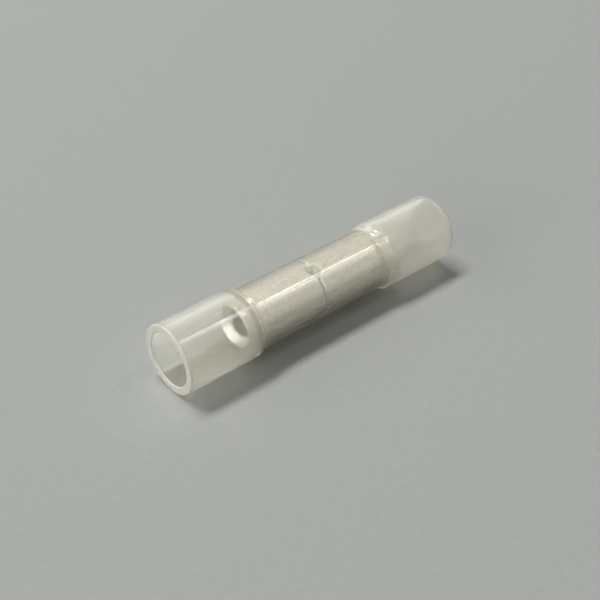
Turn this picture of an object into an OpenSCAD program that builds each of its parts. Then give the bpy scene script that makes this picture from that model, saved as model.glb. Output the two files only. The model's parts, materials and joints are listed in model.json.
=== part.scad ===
// Insulated butt splice connector, which joins two stranded wires end to end by crimping.
// A clear nylon sleeve with two bell ends is necked down over a tinned copper barrel.
// The connector lies along X, its middle over the origin and its bells resting on Z = 0.

/* [Crimp barrel] */
// Diameter of the bore that takes each stripped conductor
conductor_bore = 2.3; // [2.2:0.05:2.5]
// Wall of the barrel
barrel_wall = 0.8; // [0.65:0.05:0.85]
// Length of the barrel from mouth to mouth
barrel_length = 16.2; // [13:0.1:20]
// Depth of the countersink in each mouth
countersink_depth = 0.6; // [0.3:0.05:1.5]
// Flat rim left between the countersink and the chamfer of each mouth
mouth_rim = 0.1; // [0.05:0.01:0.2]
// Chamfer on the outer edge of each mouth
mouth_chamfer = 0.1; // [0.05:0.01:0.2]

/* [Wire stop] */
// Diameter of the dent punched into the barrel at mid-length
dent_diameter = 1.2; // [0.9:0.05:1.4]
// Depth of the dent below the outside of the barrel
dent_depth = 0.8; // [0.7:0.05:1]
// Wall left round the nose of the dent
dent_wall = 0.45; // [0.3:0.05:0.6]
// Turn of the dent about the barrel, from the top of the sleeve towards the front
dent_turn = 8; // [0:1:180]
// Width of the crease rolled round the barrel at mid-length
crease_width = 0.36; // [0.2:0.02:0.6]
// Depth of the crease
crease_depth = 0.06; // [0.03:0.01:0.09]
// Height of the low rib that the crease raises round the bore
rib_height = 0.12; // [0.05:0.01:0.2]

/* [Insulating sleeve] */
// Length of the sleeve from mouth to mouth
sleeve_length = 28.6; // [26:0.1:36]
// Inside diameter of each bell end, which takes the wire's insulation
insulation_bore = 4.6; // [4.4:0.05:4.8]
// Wall of the sleeve in its bells and its waist
sleeve_wall = 0.7; // [0.4:0.05:1]
// Length of each outer shoulder, from the waist to its bell
shoulder_length = 0.8; // [0.7:0.05:1.5]
// Length of barrel that stands out of the waist into each funnel
barrel_reach = 1.6; // [1:0.05:3]
// Round on the edges of each mouth of the sleeve
lip_round = 0.12; // [0.05:0.01:0.18]
// Radial gap between the barrel and the waist that is necked onto it
seat_gap = 0.03; // [0.01:0.01:0.05]

/* [Placing] */
// Roll of the whole connector about its length, from the top towards the front
roll = 3; // [0:1:180]

/* [Hidden] */
$fn = 96;

// Radii, from the axis outwards
bore_r = conductor_bore / 2;
barrel_r = bore_r + barrel_wall;
waist_r = barrel_r + seat_gap;
bell_r = insulation_bore / 2;
outside_r = bell_r + sleeve_wall;

// Stations along the connector, from mid-length to the mouths
barrel_mouth = barrel_length / 2;
waist_end = barrel_mouth - barrel_reach;
sleeve_mouth = sleeve_length / 2;

// Width of the bump that the dent raises in the bore, and of the rib on either side of it
stop_width = dent_diameter + 2 * dent_wall;

// Radius of an arc that rises by height across a chord
function arc_radius(chord, height) = (chord * chord / 4 + height * height) / (2 * height);

// Lays a body that was turned about Z along X
module along_x() {
    rotate([0, 90, 0])
        children();
}

// Rolls a piece about its length and sets it at the height at which the bells lie on Z = 0
module laid() {
    translate([0, 0, outside_r])
        rotate([roll, 0, 0])
            children();
}

// A half section and its mirror image across mid-length
module both_ends() {
    children();
    mirror([0, 1])
        children();
}

// Section from the axis to a wall that goes from waist to bell in two equal arcs over length
module necked_section(waist, bell, length) {
    half_rise = (bell - waist) / 2;
    arc_r = arc_radius(length, half_rise);
    middle = waist_end + length / 2;
    bell_start = waist_end + length;
    square([waist, sleeve_mouth]);
    translate([0, bell_start])
        square([bell, sleeve_mouth - bell_start]);
    // Hollow foot, where the shoulder leaves the waist
    difference() {
        translate([0, waist_end])
            square([waist + half_rise, length / 2]);
        translate([waist + arc_r, waist_end])
            circle(arc_r);
    }
    // Round head, where the shoulder meets the bell
    difference() {
        translate([0, middle])
            square([bell, length / 2]);
        difference() {
            translate([bell - half_rise, middle])
                square([half_rise, length / 2]);
            translate([bell - arc_r, bell_start])
                circle(arc_r);
        }
    }
}

// Sliver cut from one edge of the mouth to leave it round, on the outside (1) or the inside (-1)
module lip_cut(edge_r, side) {
    centre_r = edge_r - side * lip_round;
    difference() {
        translate([min(edge_r, centre_r), sleeve_mouth - lip_round])
            square(lip_round);
        translate([centre_r, sleeve_mouth - lip_round])
            circle(lip_round);
    }
}

// Clear nylon tube, necked down between two bell ends, with a funnel inside each shoulder
module insulating_sleeve() {
    color([0.90, 0.89, 0.82, 0.45])
        laid()
            along_x()
                rotate_extrude()
                    both_ends()
                        difference() {
                            necked_section(waist_r + sleeve_wall, outside_r, shoulder_length);
                            necked_section(waist_r, bell_r, barrel_reach);
                            lip_cut(outside_r, 1);
                            lip_cut(bell_r, -1);
                        }
}

// Half section of the barrel's wall, with its countersunk mouth
module barrel_section() {
    polygon([
        [bore_r, 0],
        [barrel_r, 0],
        [barrel_r, barrel_mouth - mouth_chamfer],
        [barrel_r - mouth_chamfer, barrel_mouth],
        [barrel_r - mouth_chamfer - mouth_rim, barrel_mouth],
        [bore_r, barrel_mouth - countersink_depth]
    ]);
}

// Barrel wall with a crease rolled round its middle, and the low rib that it raises in the bore
module creased_tube() {
    crease_r = arc_radius(crease_width, crease_depth);
    rib_r = arc_radius(stop_width, rib_height);
    rotate_extrude() {
        difference() {
            both_ends()
                barrel_section();
            translate([barrel_r - crease_depth + crease_r, 0])
                circle(crease_r);
        }
        intersection() {
            translate([bore_r - rib_height + rib_r, 0])
                circle(rib_r);
            translate([bore_r - rib_height, -stop_width / 2])
                square([rib_height + barrel_wall / 2, stop_width]);
        }
    }
}

// Round-nosed form of the dent, grown all over by wall, with its shank leaving the barrel upwards
module dent_form(wall) {
    form_r = dent_diameter / 2 + wall;
    nose = barrel_r - dent_depth + dent_diameter / 2;
    translate([0, 0, nose])
        rotate_extrude()
            intersection() {
                union() {
                    circle(form_r);
                    square([form_r, dent_depth]);
                }
                translate([0, -form_r])
                    square([form_r, form_r + dent_depth]);
            }
}

// Tinned copper tube with countersunk mouths and a punched stop at mid-length
module crimp_barrel() {
    color([0.78, 0.77, 0.72])
        laid()
            rotate([dent_turn, 0, 0])
                difference() {
                    union() {
                        along_x()
                            creased_tube();
                        // Bump under the dent, which ends within the barrel's wall
                        intersection() {
                            dent_form(dent_wall);
                            along_x()
                                cylinder(r = bore_r + barrel_wall / 2, h = barrel_length, center = true);
                        }
                    }
                    dent_form(0);
                }
}

insulating_sleeve();
crimp_barrel();
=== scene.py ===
"""Butt splice connector: a clear nylon sleeve necked down over a tinned copper barrel, on a pale card."""
import json
import math

import bpy
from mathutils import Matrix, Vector


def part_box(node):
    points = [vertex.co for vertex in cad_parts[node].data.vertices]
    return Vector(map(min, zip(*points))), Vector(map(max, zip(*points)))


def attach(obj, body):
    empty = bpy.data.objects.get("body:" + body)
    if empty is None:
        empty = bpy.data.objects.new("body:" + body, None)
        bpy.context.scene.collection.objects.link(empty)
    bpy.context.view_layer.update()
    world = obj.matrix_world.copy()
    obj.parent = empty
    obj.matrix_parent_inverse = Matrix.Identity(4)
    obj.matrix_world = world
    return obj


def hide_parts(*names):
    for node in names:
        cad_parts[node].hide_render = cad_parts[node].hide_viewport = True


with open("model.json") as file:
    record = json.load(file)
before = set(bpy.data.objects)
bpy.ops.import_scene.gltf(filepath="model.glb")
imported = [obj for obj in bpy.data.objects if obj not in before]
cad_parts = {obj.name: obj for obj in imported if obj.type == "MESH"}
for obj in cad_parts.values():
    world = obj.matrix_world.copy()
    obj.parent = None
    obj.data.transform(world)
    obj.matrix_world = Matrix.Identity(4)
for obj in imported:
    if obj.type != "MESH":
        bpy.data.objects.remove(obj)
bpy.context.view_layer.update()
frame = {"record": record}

# Sizes, in metres. What the frame holds is read from it, and the rest repeats the part's own sizes.
MM = 0.001
mounts = {mount["name"]: mount for mount in frame["record"]["mounts"]}
conductor_socket = mounts["conductor_socket_right"]
insulation_bell = mounts["insulation_bell_right"]
bore_r = conductor_socket["dims"]["r_mm"] * MM
bell_r = insulation_bell["dims"]["r_mm"] * MM
axis_height = insulation_bell["pos_m"][2]
sleeve_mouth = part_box("insulating_sleeve")[1].x
barrel_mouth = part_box("crimp_barrel")[1].x

sleeve_wall = 0.7 * MM
shoulder_length = 0.8 * MM
barrel_reach = 1.6 * MM
lip_round = 0.12 * MM
seat_gap = 0.03 * MM
barrel_wall = 0.8 * MM
countersink_depth = 0.6 * MM
mouth_rim = 0.1 * MM
mouth_chamfer = 0.1 * MM
crease_width = 0.36 * MM
crease_depth = 0.06 * MM
rib_width = 2.1 * MM
rib_height = 0.12 * MM
dent_r = 0.6 * MM
dent_depth = 0.8 * MM
dent_turn = math.radians(11)  # from the top towards the front, with the roll of the whole connector
bump_r = 1.05 * MM
bump_height = 0.45 * MM

outside_r = bell_r + sleeve_wall
barrel_r = bore_r + barrel_wall
waist_out_r = barrel_r + seat_gap + sleeve_wall
waist_end = barrel_mouth - barrel_reach

# Finish, finer than the part's own sizes. Under the waist the nylon is drawn tight onto the barrel, so its
# inner wall lies a hair inside the metal's surface, and over the dent it sags a little.
grip = 0.06 * MM
waist_in_r = barrel_r - grip
sag_r = 0.9 * MM
sag_depth = 0.03 * MM
edge_round = 0.03 * MM

# The drawn nylon is uneven by this depth, in waves about 3 mm long and 1.5 mm wide
unevenness = 0.008 * MM
WAVES_PER_METRE = (350.0, 700.0, 700.0)

# Shares of the dent's radius at which its floor starts to rise and at which its soft edge ends
DENT_FLOOR = 0.15
DENT_EDGE = 1.2

# Steps along each section: fine up to a reach from mid-length, where the dent is, and coarse beyond
sleeve_steps = {"reach": 1.5 * MM, "fine": 0.12 * MM, "coarse": 0.25 * MM}
barrel_steps = {"reach": 1.2 * MM, "fine": 0.04 * MM, "coarse": 0.3 * MM}
SLEEVE_STEPS_ROUND = 176
BARREL_STEPS_ROUND = 240

# Nylon: its index of refraction, and the share of light that its haze scatters
NYLON_IOR = 1.53
HAZE_AT_WAIST = 0.15
HAZE_IN_BELLS = 0.22
HAZE_AT_CUT = 0.3

# Tin plate: what the dent and the countersinks add to the roughness of the drawn surface
DENT_DULLNESS = 0.55
COUNTERSINK_DULLNESS = 0.16

# Camera, as fitted to the picture: angles in degrees, the point that it looks at as steps to its right and
# up from the connector's middle, and its sensor and lens in millimetres
AZIMUTH = -40.78
ELEVATION = 36.80
CAMERA_DISTANCE = 91.3 * MM
AIM_RIGHT = -0.737 * MM
AIM_UP = -0.962 * MM
SENSOR = 36.0
LENS = 65.73

# Lamps, as name, place in metres, length, width and power in watts. The first ones shine straight down, and
# the others face the connector.
LAMPS_ABOVE = (
    ("ceiling_lamp_behind", (-0.132, 0.44, 1.1), 0.56, 0.26, 10.6),
    ("ceiling_lamp_ahead", (0.58, -0.38, 1.1), 0.48, 0.26, 0.66),
    ("ceiling_strip_ahead", (0.66, -0.252, 1.098), 0.4, 0.06, 0.9),
)
LAMPS_AROUND = (
    ("window_on_the_left", (-1.14, -0.24, 0.26), 1.2, 0.48, 6.6),
    ("wall_behind", (0.456, 0.888, 0.666), 0.5, 0.7, 0.32),
    ("wall_on_the_left", (-0.828, 0.518, 0.61), 1.44, 0.45, 4.4),
)

# Strength of the room's light where it is seen and where it lights, and half the card's side in metres
ROOM_SEEN = 0.9
ROOM_LIT = 0.02
CARD_HALF_SIDE = 1.0


def linear(hex_colour):
    """A linear RGBA colour from an sRGB hex value."""
    parts = [int(hex_colour[i:i + 2], 16) / 255 for i in (1, 3, 5)]
    return [p / 12.92 if p <= 0.04045 else ((p + 0.055) / 1.055) ** 2.4 for p in parts] + [1.0]


def add(tree, kind, settings=None, inputs=None):
    """Adds a node, sets its properties, and sets each input or links it to another node's output."""
    made = tree.nodes.new(kind)
    for name, value in (settings or {}).items():
        setattr(made, name, value)
    for key, value in (inputs or {}).items():
        if isinstance(value, bpy.types.NodeSocket):
            tree.links.new(value, made.inputs[key])
        else:
            made.inputs[key].default_value = value
    return made


# Sections: half outlines as (radius, station) points, from the outside at mid-length to the mouth and back
# to mid-length on the inside


def arc(centre, radius, start, end, steps):
    """Points along an arc of a section, with angles in degrees from the radius towards the mouth."""
    turns = [math.radians(start + (end - start) * i / steps) for i in range(steps + 1)]
    return [(centre[0] + radius * math.cos(t), centre[1] + radius * math.sin(t)) for t in turns]


def arc_over(chord, height):
    """Radius of an arc that rises by a height across a chord, and the angle in degrees of half of it."""
    radius = (chord ** 2 / 4 + height ** 2) / height / 2
    return radius, math.degrees(math.asin(chord / 2 / radius))


def neck(waist, bell, length, steps=8):
    """The two equal arcs by which a wall goes from waist to bell over a length from the waist's end."""
    radius, sweep = arc_over(length, (bell - waist) / 2)
    foot = arc((waist + radius, waist_end), radius, 180, 180 - sweep, steps)
    head = arc((bell - radius, waist_end + length), radius, -sweep, 0, steps)
    return foot + head[1:]


def filled(points, reach, fine, coarse):
    """The points with more of them between: fine up to a reach from mid-length, and coarse beyond."""
    out = [points[0]]
    for start, end in zip(points, points[1:]):
        ends = [start, end]
        if min(start[1], end[1]) < reach < max(start[1], end[1]):
            share = (reach - start[1]) / (end[1] - start[1])
            ends.insert(1, (start[0] + (end[0] - start[0]) * share, reach))
        for (r0, x0), (r1, x1) in zip(ends, ends[1:]):
            gap = fine if (x0 + x1) / 2 < reach else coarse
            count = max(1, math.ceil(math.hypot(r1 - r0, x1 - x0) / gap))
            shares = [i / count for i in range(1, count + 1)]
            out += [(r0 + (r1 - r0) * s, x0 + (x1 - x0) * s) for s in shares]
    return out


def sleeve_section():
    """Half section of the nylon: waist, shoulder, bell and lip outside, then the way back inside."""
    lip = sleeve_mouth - lip_round
    outside = [(waist_out_r, 0.0)] + neck(waist_out_r, outside_r, shoulder_length)
    mouth = arc((outside_r - lip_round, lip), lip_round, 0, 90, 8)
    mouth += arc((bell_r + lip_round, lip), lip_round, 90, 180, 8)
    inside = neck(waist_in_r, bell_r, barrel_reach)[::-1] + [(waist_in_r, 0.0)]
    return outside + mouth + inside


def barrel_section():
    """Half section of the metal: crease outside, chamfered and countersunk mouth, and the bore's rib."""
    crease_r, crease_sweep = arc_over(crease_width, crease_depth)
    crease = arc((barrel_r - crease_depth + crease_r, 0.0), crease_r, 180, 180 - crease_sweep, 6)
    rim_r = barrel_r - mouth_chamfer - mouth_rim
    mouth = [
        (barrel_r, barrel_mouth - mouth_chamfer - edge_round),
        (barrel_r - edge_round / 4, barrel_mouth - mouth_chamfer),
        (barrel_r - mouth_chamfer, barrel_mouth - edge_round / 4),
        (barrel_r - mouth_chamfer - edge_round, barrel_mouth),
        (rim_r + edge_round, barrel_mouth),
        (rim_r, barrel_mouth - edge_round / 2),
        (bore_r + edge_round, barrel_mouth - countersink_depth + edge_round),
        (bore_r, barrel_mouth - countersink_depth - edge_round),
    ]
    rib_r, rib_sweep = arc_over(rib_width, rib_height)
    rib = arc((bore_r - rib_height + rib_r, 0.0), rib_r, 180 - rib_sweep, 180, 8)
    return crease + mouth + rib


def section_mesh(name, half):
    """A closed loop of edges from a half section and its mirror image."""
    loop = half + [(r, -x) for r, x in half[-2:0:-1]]
    mesh = bpy.data.meshes.new(name)
    edges = [(i, (i + 1) % len(loop)) for i in range(len(loop))]
    mesh.from_pydata([(r, x, 0.0) for r, x in loop], edges, [])
    return mesh


def turning_tree():
    """Geometry nodes that turn a section about the connector's length, dent it and finish its surface."""
    tree = bpy.data.node_groups.new("turned_about_its_length", "GeometryNodeTree")
    face = tree.interface
    face.new_socket("Geometry", in_out="OUTPUT", socket_type="NodeSocketGeometry")
    face.new_socket("Geometry", in_out="INPUT", socket_type="NodeSocketGeometry")
    for name, kind in (
        ("Turning radius", "Float"), ("Steps round", "Int"), ("Axis height", "Float"),
        ("Wall middle", "Float"), ("Dent turn", "Float"), ("Dent radius", "Float"),
        ("Dent depth", "Float"), ("Bump radius", "Float"), ("Bump height", "Float"),
        ("Unevenness", "Float"), ("Finish", "Material"), ("Cut station", "Float"),
        ("Cut finish", "Material"),
    ):
        face.new_socket(name, in_out="INPUT", socket_type="NodeSocket" + kind)
    given = add(tree, "NodeGroupInput").outputs

    # The section, swept round a circle and laid along X
    loop = add(tree, "GeometryNodeMeshToCurve", None, {"Mesh": given["Geometry"]})
    inward = add(tree, "ShaderNodeMath", {"operation": "MULTIPLY"}, {0: given["Turning radius"], 1: -1.0})
    shift = add(tree, "ShaderNodeCombineXYZ", None, {"X": inward.outputs[0]})
    section = add(tree, "GeometryNodeTransform", None,
                  {"Geometry": loop.outputs[0], "Translation": shift.outputs[0]})
    circle = add(tree, "GeometryNodeCurvePrimitiveCircle", None,
                 {"Resolution": given["Steps round"], "Radius": given["Turning radius"]})
    swept = add(tree, "GeometryNodeCurveToMesh", None,
                {"Curve": circle.outputs["Curve"], "Profile Curve": section.outputs[0]})
    laid = add(tree, "GeometryNodeTransform", None,
               {"Geometry": swept.outputs[0], "Rotation": (0.0, math.pi / 2, 0.0)})

    # The punch's direction, and how far each point lies along it and from its axis
    place = add(tree, "GeometryNodeInputPosition").outputs[0]
    sine = add(tree, "ShaderNodeMath", {"operation": "SINE"}, {0: given["Dent turn"]})
    cosine = add(tree, "ShaderNodeMath", {"operation": "COSINE"}, {0: given["Dent turn"]})
    front = add(tree, "ShaderNodeMath", {"operation": "MULTIPLY"}, {0: sine.outputs[0], 1: -1.0})
    punch = add(tree, "ShaderNodeCombineXYZ", None, {"Y": front.outputs[0], "Z": cosine.outputs[0]})
    rise = add(tree, "ShaderNodeVectorMath", {"operation": "DOT_PRODUCT"},
               {0: place, 1: punch.outputs[0]})
    up = add(tree, "ShaderNodeVectorMath", {"operation": "SCALE"},
             {0: punch.outputs[0], "Scale": rise.outputs["Value"]})
    aside = add(tree, "ShaderNodeVectorMath", {"operation": "DISTANCE"}, {0: place, 1: up.outputs[0]})

    # Which skin each point is on: the dent is pressed into the outside, and its bump stands in the bore
    parts = add(tree, "ShaderNodeSeparateXYZ", None, {0: place})
    flat = add(tree, "ShaderNodeCombineXYZ", None, {"Y": parts.outputs["Y"], "Z": parts.outputs["Z"]})
    radius = add(tree, "ShaderNodeVectorMath", {"operation": "LENGTH"}, {0: flat.outputs[0]})
    on_outside = add(tree, "FunctionNodeCompare", {"operation": "GREATER_THAN"},
                     {"A": radius.outputs["Value"], "B": given["Wall middle"]})
    on_top = add(tree, "FunctionNodeCompare", {"operation": "GREATER_THAN"},
                 {"A": rise.outputs["Value"], "B": 0.0})
    reach = add(tree, "GeometryNodeSwitch", {"input_type": "FLOAT"}, {
        "Switch": on_outside.outputs[0], "False": given["Bump radius"], "True": given["Dent radius"],
    })
    depth = add(tree, "GeometryNodeSwitch", {"input_type": "FLOAT"}, {
        "Switch": on_outside.outputs[0], "False": given["Bump height"], "True": given["Dent depth"],
    })

    # The dent: the punch leaves a flat, so the depth lessens where the round surface falls away from it
    share = add(tree, "ShaderNodeMath", {"operation": "DIVIDE"},
                {0: aside.outputs["Value"], 1: reach.outputs[0]})
    form = add(tree, "ShaderNodeMapRange", {"interpolation_type": "SMOOTHSTEP"}, {
        "Value": share.outputs[0], "From Min": DENT_FLOOR, "From Max": DENT_EDGE,
        "To Min": -1.0, "To Max": 0.0,
    })
    fall = add(tree, "ShaderNodeMath", {"operation": "SUBTRACT"},
               {0: radius.outputs["Value"], 1: rise.outputs["Value"]})
    left = add(tree, "ShaderNodeMath", {"operation": "SUBTRACT"},
               {0: depth.outputs[0], 1: fall.outputs[0]})
    pressed = add(tree, "ShaderNodeMath", {"operation": "MAXIMUM"}, {0: left.outputs[0], 1: 0.0})
    sink = add(tree, "ShaderNodeMath", {"operation": "MULTIPLY"},
               {0: form.outputs[0], 1: pressed.outputs[0]})
    dent = add(tree, "ShaderNodeVectorMath", {"operation": "SCALE"},
               {0: punch.outputs[0], "Scale": sink.outputs[0]})
    dented = add(tree, "GeometryNodeSetPosition", None, {
        "Geometry": laid.outputs[0], "Selection": on_top.outputs[0], "Offset": dent.outputs[0],
    })

    # Slight unevenness of a drawn surface, always inwards, with the outside's own radius as its limit
    wave = add(tree, "ShaderNodeVectorMath", {"operation": "MULTIPLY"}, {0: place, 1: WAVES_PER_METRE})
    noise = add(tree, "ShaderNodeTexNoise", None,
                {"Vector": wave.outputs[0], "Scale": 1.0, "Detail": 1.0})
    amount = add(tree, "ShaderNodeMath", {"operation": "MULTIPLY"},
                 {0: noise.outputs[0], 1: given["Unevenness"]})
    drawn_in = add(tree, "ShaderNodeMath", {"operation": "MULTIPLY"}, {0: amount.outputs[0], 1: -1.0})
    away = add(tree, "ShaderNodeVectorMath", {"operation": "NORMALIZE"}, {0: flat.outputs[0]})
    offset = add(tree, "ShaderNodeVectorMath", {"operation": "SCALE"},
                 {0: away.outputs[0], "Scale": drawn_in.outputs[0]})
    uneven = add(tree, "GeometryNodeSetPosition", None, {
        "Geometry": dented.outputs[0], "Selection": on_outside.outputs[0], "Offset": offset.outputs[0],
    })

    lift = add(tree, "ShaderNodeCombineXYZ", None, {"Z": given["Axis height"]})
    set_down = add(tree, "GeometryNodeTransform", None,
                   {"Geometry": uneven.outputs[0], "Translation": lift.outputs[0]})
    smooth = add(tree, "GeometryNodeSetShadeSmooth", None, {"Geometry": set_down.outputs[0]})
    real = add(tree, "GeometryNodeRealizeInstances", None, {"Geometry": smooth.outputs[0]})
    finished = add(tree, "GeometryNodeSetMaterial", None,
                   {"Geometry": real.outputs[0], "Material": given["Finish"]})

    # The faces beyond the cut station, at either mouth, keep the look of a cut
    station = add(tree, "ShaderNodeMath", {"operation": "ABSOLUTE"}, {0: parts.outputs["X"]})
    on_cut = add(tree, "FunctionNodeCompare", {"operation": "GREATER_THAN"},
                 {"A": station.outputs[0], "B": given["Cut station"]})
    cut = add(tree, "GeometryNodeSetMaterial", None, {
        "Geometry": finished.outputs[0], "Selection": on_cut.outputs[0], "Material": given["Cut finish"],
    })
    add(tree, "NodeGroupOutput", None, {"Geometry": cut.outputs[0]})
    return tree


def turned_piece(name, half_section, tree, values):
    """A plain mesh object from a half section and the turning tree, with outward faces."""
    piece = bpy.data.objects.new(name, section_mesh(name + "_section", half_section))
    bpy.context.scene.collection.objects.link(piece)
    turning = piece.modifiers.new("turning", "NODES")
    turning.node_group = tree
    sockets = {item.name: item.identifier for item in tree.interface.items_tree if item.in_out == "INPUT"}
    for key, value in values.items():
        turning[sockets[key]] = value
    seen = piece.evaluated_get(bpy.context.evaluated_depsgraph_get())
    mesh = bpy.data.meshes.new_from_object(seen)
    piece.modifiers.remove(turning)
    old = piece.data
    piece.data = mesh
    mesh.name = name
    bpy.data.meshes.remove(old)
    volume = sum(p.center.dot(p.normal) * p.area for p in mesh.polygons) / 3
    if volume < 0:
        mesh.flip_normals()
    return piece


# Materials


def new_material(name):
    """A material with an empty node tree, and that tree."""
    material = bpy.data.materials.new(name)
    material.use_nodes = True
    material.node_tree.nodes.clear()
    return material, material.node_tree


def nylon_output(tree, shader, haze, share):
    """Ends a nylon material: its surface with a share of haze, and a cream tint that deepens inside it."""
    both = add(tree, "ShaderNodeMixShader", None, {0: share, 1: shader.outputs[0], 2: haze.outputs[0]})
    depth = add(tree, "ShaderNodeVolumeAbsorption", None, {"Color": linear("#F4EED3"), "Density": 120.0})
    add(tree, "ShaderNodeOutputMaterial", None, {"Surface": both.outputs[0], "Volume": depth.outputs[0]})


def clear_nylon():
    """Natural nylon, extruded and drawn in: clear with a milky haze, a cream tint and faint draw lines."""
    material, tree = new_material("clear_natural_nylon")
    place = add(tree, "ShaderNodeTexCoord").outputs["Object"]
    # Draw lines run along X, about 0.25 mm apart round the sleeve and 20 mm long
    along = add(tree, "ShaderNodeMapping", None,
                {"Vector": place, "Scale": (1 / (20 * MM), 1 / (0.25 * MM), 1 / (0.25 * MM))})
    lines = add(tree, "ShaderNodeTexNoise", None,
                {"Vector": along.outputs[0], "Scale": 1.0, "Detail": 2.0})
    # Haze gathers in soft clouds about 3 mm across
    clouds = add(tree, "ShaderNodeTexNoise", None,
                 {"Vector": place, "Scale": 1 / (3 * MM), "Detail": 3.0})
    tint = add(tree, "ShaderNodeMix", {"data_type": "RGBA"},
               {0: clouds.outputs[0], 6: linear("#FAF9F4"), 7: linear("#FFFFFC")})
    rough = add(tree, "ShaderNodeMapRange", None, {
        "Value": lines.outputs[0], "From Min": 0.3, "From Max": 0.7, "To Min": 0.03, "To Max": 0.08,
    })
    bump = add(tree, "ShaderNodeBump", None,
               {"Height": lines.outputs[0], "Strength": 0.15, "Distance": 0.01 * MM})
    shader = add(tree, "ShaderNodeBsdfPrincipled", None, {
        "Base Color": tint.outputs[2], "Roughness": rough.outputs[0], "IOR": NYLON_IOR,
        "Transmission Weight": 0.95, "Normal": bump.outputs[0],
    })
    # The drawn waist is clearer than the bells
    parts = add(tree, "ShaderNodeSeparateXYZ", None, {0: place})
    station = add(tree, "ShaderNodeMath", {"operation": "ABSOLUTE"}, {0: parts.outputs["X"]})
    share = add(tree, "ShaderNodeMapRange", {"interpolation_type": "SMOOTHSTEP"}, {
        "Value": station.outputs[0], "From Min": waist_end - shoulder_length, "From Max": barrel_mouth,
        "To Min": HAZE_AT_WAIST, "To Max": HAZE_IN_BELLS,
    })
    haze = add(tree, "ShaderNodeBsdfTranslucent", None, {"Color": linear("#FFFDF8")})
    nylon_output(tree, shader, haze, share.outputs[0])
    return material


def cut_nylon():
    """The same nylon where the tube was cut off: frosted by the blade, so it is paler and less clear."""
    material, tree = new_material("cut_natural_nylon")
    place = add(tree, "ShaderNodeTexCoord").outputs["Object"]
    # Blade marks of about 0.1 mm
    marks = add(tree, "ShaderNodeTexNoise", None,
                {"Vector": place, "Scale": 1 / (0.1 * MM), "Detail": 3.0})
    tint = add(tree, "ShaderNodeMix", {"data_type": "RGBA"},
               {0: marks.outputs[0], 6: linear("#F0ECDE"), 7: linear("#FCFAF2")})
    bump = add(tree, "ShaderNodeBump", None,
               {"Height": marks.outputs[0], "Strength": 0.3, "Distance": 0.01 * MM})
    shader = add(tree, "ShaderNodeBsdfPrincipled", None, {
        "Base Color": tint.outputs[2], "Roughness": 0.3, "IOR": NYLON_IOR, "Transmission Weight": 0.15,
        "Normal": bump.outputs[0],
    })
    haze = add(tree, "ShaderNodeBsdfTranslucent", None, {"Color": tint.outputs[2]})
    nylon_output(tree, shader, haze, HAZE_AT_CUT)
    return material


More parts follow.
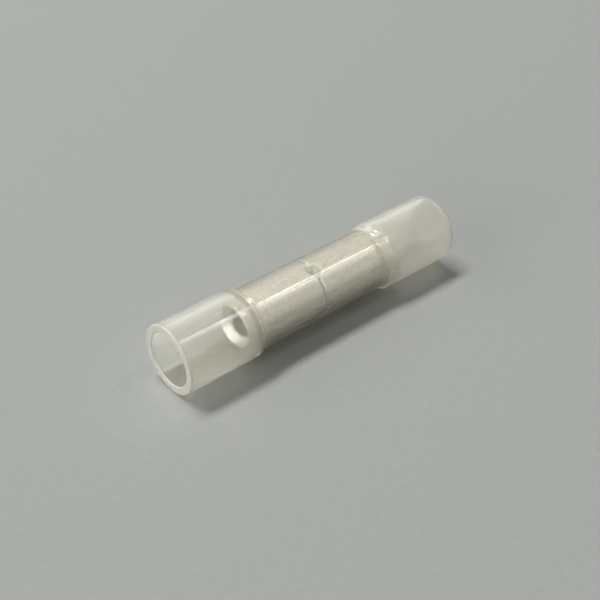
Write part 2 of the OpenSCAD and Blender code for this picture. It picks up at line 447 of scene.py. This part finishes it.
def tinned_copper():
    """Electro-tinned copper tube: satin grey-white metal with fine draw marks along it and slight grain."""
    material, tree = new_material("satin_tin_plate")
    place = add(tree, "ShaderNodeTexCoord").outputs["Object"]
    # Draw marks about 0.15 mm apart and 4 mm long, coarser than the real ones so that they show
    along = add(tree, "ShaderNodeMapping", None,
                {"Vector": place, "Scale": (1 / (4 * MM), 1 / (0.15 * MM), 1 / (0.15 * MM))})
    marks = add(tree, "ShaderNodeTexNoise", None,
                {"Vector": along.outputs[0], "Scale": 1.0, "Detail": 2.0})
    # Plating grain of about 0.3 mm, with finer grain in it
    grain = add(tree, "ShaderNodeTexNoise", None,
                {"Vector": place, "Scale": 1 / (0.3 * MM), "Detail": 4.0})
    relief = add(tree, "ShaderNodeMath", {"operation": "ADD"}, {0: marks.outputs[0], 1: grain.outputs[0]})
    drawn_tint = add(tree, "ShaderNodeMix", {"data_type": "RGBA"},
                     {0: grain.outputs[0], 6: linear("#B6B2A7"), 7: linear("#E6E3DA")})
    drawn_rough = add(tree, "ShaderNodeMapRange", None, {
        "Value": marks.outputs[0], "From Min": 0.3, "From Max": 0.7, "To Min": 0.25, "To Max": 0.36,
    })
    # The punch leaves its dent duller than the drawn surface, out to a little past the dent's radius. Its
    # tint there is painted paler, to offset the shade in the hollow.
    arm = add(tree, "ShaderNodeVectorMath", {"operation": "SUBTRACT"},
              {0: place, 1: (0.0, 0.0, axis_height)})
    punch = (0.0, -math.sin(dent_turn), math.cos(dent_turn))
    across = add(tree, "ShaderNodeVectorMath", {"operation": "CROSS_PRODUCT"},
                 {0: arm.outputs[0], 1: punch})
    apart = add(tree, "ShaderNodeVectorMath", {"operation": "LENGTH"}, {0: across.outputs[0]})
    dent_dull_and_painted_pale = add(tree, "ShaderNodeMapRange", {"interpolation_type": "SMOOTHSTEP"}, {
        "Value": apart.outputs["Value"], "From Min": 0.9 * dent_r, "From Max": 1.4 * dent_r,
        "To Min": 1.0, "To Max": 0.0,
    })
    # Painted light: a paler tint in the dent that lightens the shade of its hollow
    dent_tint_painted_pale = add(tree, "ShaderNodeMix", {"data_type": "RGBA"},
                      {0: dent_dull_and_painted_pale.outputs[0], 6: drawn_tint.outputs[2], 7: linear("#E6E6DE")})
    dented_rough = add(tree, "ShaderNodeMath", {"operation": "MULTIPLY_ADD"},
                       {0: dent_dull_and_painted_pale.outputs[0], 1: DENT_DULLNESS, 2: drawn_rough.outputs[0]})
    # The countersinks are less smooth than the drawn surface, and their tint is painted paler to brighten
    # the white crescent of reflected light in them.
    parts = add(tree, "ShaderNodeSeparateXYZ", None, {0: place})
    station = add(tree, "ShaderNodeMath", {"operation": "ABSOLUTE"}, {0: parts.outputs["X"]})
    at_mouth = add(tree, "ShaderNodeMath", {"operation": "GREATER_THAN"},
                   {0: station.outputs[0], 1: barrel_mouth - countersink_depth})
    around = add(tree, "ShaderNodeVectorMath", {"operation": "CROSS_PRODUCT"},
                 {0: arm.outputs[0], 1: (1.0, 0.0, 0.0)})
    radius = add(tree, "ShaderNodeVectorMath", {"operation": "LENGTH"}, {0: around.outputs[0]})
    within = add(tree, "ShaderNodeMath", {"operation": "LESS_THAN"},
                 {0: radius.outputs["Value"], 1: barrel_r - mouth_chamfer})
    cut = add(tree, "ShaderNodeMath", {"operation": "MULTIPLY"},
              {0: at_mouth.outputs[0], 1: within.outputs[0]})
    # Painted highlight: the paler countersink tint brightens the crescent of light that they reflect
    tint = add(tree, "ShaderNodeMix", {"data_type": "RGBA"},
               {0: cut.outputs[0], 6: dent_tint_painted_pale.outputs[2], 7: linear("#F2F0EA")})
    rough = add(tree, "ShaderNodeMath", {"operation": "MULTIPLY_ADD"},
                {0: cut.outputs[0], 1: COUNTERSINK_DULLNESS, 2: dented_rough.outputs[0]})
    bump = add(tree, "ShaderNodeBump", None,
               {"Height": relief.outputs[0], "Strength": 0.4, "Distance": 0.02 * MM})
    shader = add(tree, "ShaderNodeBsdfPrincipled", None, {
        "Base Color": tint.outputs[2], "Metallic": 1.0, "Roughness": rough.outputs[0],
        "Normal": bump.outputs[0],
    })
    add(tree, "ShaderNodeOutputMaterial", None, {"Surface": shader.outputs[0]})
    return material


def grey_card():
    """Uncoated grey card: matt, with a fine mottle of fibres."""
    material, tree = new_material("pale_grey_card")
    place = add(tree, "ShaderNodeTexCoord").outputs["Object"]
    # Fibres of about 0.5 mm
    fibres = add(tree, "ShaderNodeTexNoise", None,
                 {"Vector": place, "Scale": 1 / (0.5 * MM), "Detail": 3.0})
    tint = add(tree, "ShaderNodeMix", {"data_type": "RGBA"},
               {0: fibres.outputs[0], 6: linear("#A7A9A6"), 7: linear("#B1B3B0")})
    bump = add(tree, "ShaderNodeBump", None,
               {"Height": fibres.outputs[0], "Strength": 0.3, "Distance": 0.03 * MM})
    shader = add(tree, "ShaderNodeBsdfPrincipled", None, {
        "Base Color": tint.outputs[2], "Roughness": 0.9, "Specular IOR Level": 0.2,
        "Normal": bump.outputs[0],
    })
    add(tree, "ShaderNodeOutputMaterial", None, {"Surface": shader.outputs[0]})
    return material


# The two pieces


tree = turning_tree()
sleeve = turned_piece("nylon_sleeve", filled(sleeve_section(), **sleeve_steps), tree, {
    "Turning radius": bell_r, "Steps round": SLEEVE_STEPS_ROUND, "Axis height": axis_height,
    "Wall middle": (waist_in_r + waist_out_r) / 2, "Dent turn": dent_turn,
    "Dent radius": sag_r, "Dent depth": sag_depth, "Bump radius": bump_r, "Bump height": 0.0,
    "Unevenness": unevenness, "Finish": clear_nylon(),
    "Cut station": sleeve_mouth - lip_round, "Cut finish": cut_nylon(),
})
tin = tinned_copper()
barrel = turned_piece("tinned_barrel", filled(barrel_section(), **barrel_steps), tree, {
    "Turning radius": bore_r, "Steps round": BARREL_STEPS_ROUND, "Axis height": axis_height,
    "Wall middle": bore_r + barrel_wall / 2, "Dent turn": dent_turn,
    "Dent radius": dent_r, "Dent depth": dent_depth, "Bump radius": bump_r, "Bump height": bump_height,
    "Unevenness": 0.0, "Finish": tin, "Cut station": sleeve_mouth, "Cut finish": tin,
})
for piece, node, slot in (
    (sleeve, "insulating_sleeve", "clear_nylon"),
    (barrel, "crimp_barrel", "tinned_copper"),
):
    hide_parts(node)
    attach(piece, "root")


# Stage, lights and camera


def card_floor(half_side):
    """The card that the connector lies on."""
    mesh = bpy.data.meshes.new("card_floor")
    corners = [(-1, -1), (1, -1), (1, 1), (-1, 1)]
    mesh.from_pydata([(x * half_side, y * half_side, 0.0) for x, y in corners], [], [(0, 1, 2, 3)])
    floor = bpy.data.objects.new("card_floor", mesh)
    bpy.context.scene.collection.objects.link(floor)
    mesh.materials.append(grey_card())


def soft_lamp(name, place, length, width, power):
    """A flat lamp, long along X, that hangs at a place and shines straight down."""
    lamp = bpy.data.lights.new(name, "AREA")
    lamp.shape = "RECTANGLE"
    lamp.size = length
    lamp.size_y = width
    lamp.energy = power
    held = bpy.data.objects.new(name, lamp)
    bpy.context.scene.collection.objects.link(held)
    held.location = place
    return held


def pale_room(seen, lit):
    """World light: a pale room where it is seen, mirrored or refracted, and a weak fill elsewhere."""
    world = bpy.data.worlds.new("pale_room")
    bpy.context.scene.world = world
    world.use_nodes = True
    tree = world.node_tree
    tree.nodes.clear()
    path = add(tree, "ShaderNodeLightPath")
    shown = add(tree, "ShaderNodeMath", {"operation": "MAXIMUM"},
                {0: path.outputs["Is Camera Ray"], 1: path.outputs["Is Glossy Ray"]})
    shown = add(tree, "ShaderNodeMath", {"operation": "MAXIMUM"},
                {0: shown.outputs[0], 1: path.outputs["Is Transmission Ray"]})
    strength = add(tree, "ShaderNodeMapRange", None,
                   {"Value": shown.outputs[0], "To Min": lit, "To Max": seen})
    back = add(tree, "ShaderNodeBackground", None,
               {"Color": linear("#F6F7F5"), "Strength": strength.outputs[0]})
    add(tree, "ShaderNodeOutputWorld", None, {"Surface": back.outputs[0]})


def fitted_camera():
    """The camera that shows the connector as the picture does."""
    azimuth, elevation = math.radians(AZIMUTH), math.radians(ELEVATION)
    level = math.cos(elevation)
    back = Vector((math.sin(azimuth) * level, -math.cos(azimuth) * level, math.sin(elevation)))
    right = Vector((math.cos(azimuth), math.sin(azimuth), 0.0))
    aim = Vector((0.0, 0.0, axis_height)) + AIM_RIGHT * right + AIM_UP * back.cross(right)
    data = bpy.data.cameras.new("camera")
    data.sensor_width = SENSOR
    data.lens = LENS
    data.clip_start = 1 * MM
    camera = bpy.data.objects.new("camera", data)
    bpy.context.scene.collection.objects.link(camera)
    camera.location = aim + CAMERA_DISTANCE * back
    camera.rotation_euler = back.to_track_quat("Z", "Y").to_euler()
    bpy.context.scene.camera = camera


card_floor(CARD_HALF_SIDE)
for lamp in LAMPS_ABOVE:
    soft_lamp(*lamp)
for lamp in LAMPS_AROUND:
    facing = soft_lamp(*lamp)
    facing.rotation_euler = facing.location.to_track_quat("Z", "Y").to_euler()
pale_room(ROOM_SEEN, ROOM_LIT)
fitted_camera()
bpy.context.scene.view_settings.view_transform = "Standard"
